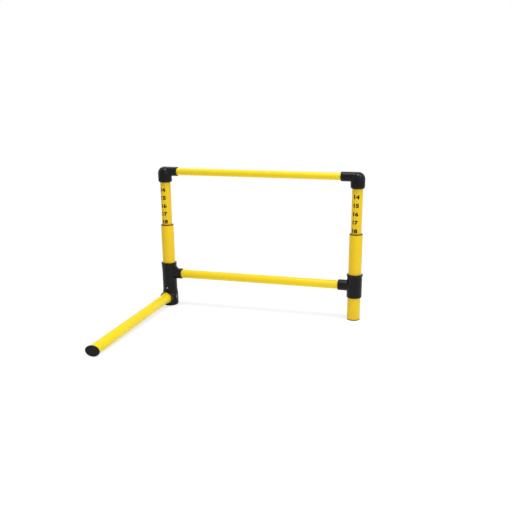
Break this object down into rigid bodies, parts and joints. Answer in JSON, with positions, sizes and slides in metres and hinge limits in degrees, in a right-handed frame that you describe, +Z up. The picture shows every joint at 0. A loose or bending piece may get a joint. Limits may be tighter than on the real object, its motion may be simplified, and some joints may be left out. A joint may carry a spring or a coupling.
{
  "type": "track hurdle",
  "caption": "Low height-adjustable training hurdle with telescoping tube posts, a round top bar on elbows, a lower tie bar and one long foot.",
  "frame": {"origin": "on the floor, under the centre of the hurdle's box at full height", "axes": "+X from the post with the foot to the other post, +Y away from the foot's end cap, +Z up"},
  "size_m": [0.6678, 0.538, 0.4538],
  "materials": {
    "yellow_tube": "extruded yellow PVC tube, satin, with faint lengthwise draw lines",
    "black_plastic": "injection-moulded black plastic, half gloss, with a fine moulded texture",
    "grip_rubber": "dull black rubber cord",
    "screw_steel": "zinc-plated steel"
  },
  "bodies": {
    "frame": {"left_outer_upright": "yellow_tube", "right_outer_upright": "yellow_tube", "lower_crossbar": "yellow_tube", "foot_tube": "yellow_tube", "foot_bush": "yellow_tube", "foot_end_cap": "black_plastic", "right_post_plug": "black_plastic", "base_fitting": "black_plastic", "right_tee": "black_plastic", "post_screw": "screw_steel", "foot_screw": "screw_steel", "left_guide_bush": "black_plastic", "right_guide_bush": "black_plastic"},
    "lift": {"left_inner_upright": "yellow_tube", "right_inner_upright": "yellow_tube", "left_slide_plug": "black_plastic", "right_slide_plug": "black_plastic", "left_grip_ring": "grip_rubber", "right_grip_ring": "grip_rubber", "left_elbow": "black_plastic", "right_elbow": "black_plastic", "top_crossbar": "yellow_tube"}
  },
  "joints": [
    {"name": "height_slide", "type": "slide", "parent": "frame", "child": "lift", "axis": [0, 0, 1], "range_m": [-0.135, 0]}
  ]
}
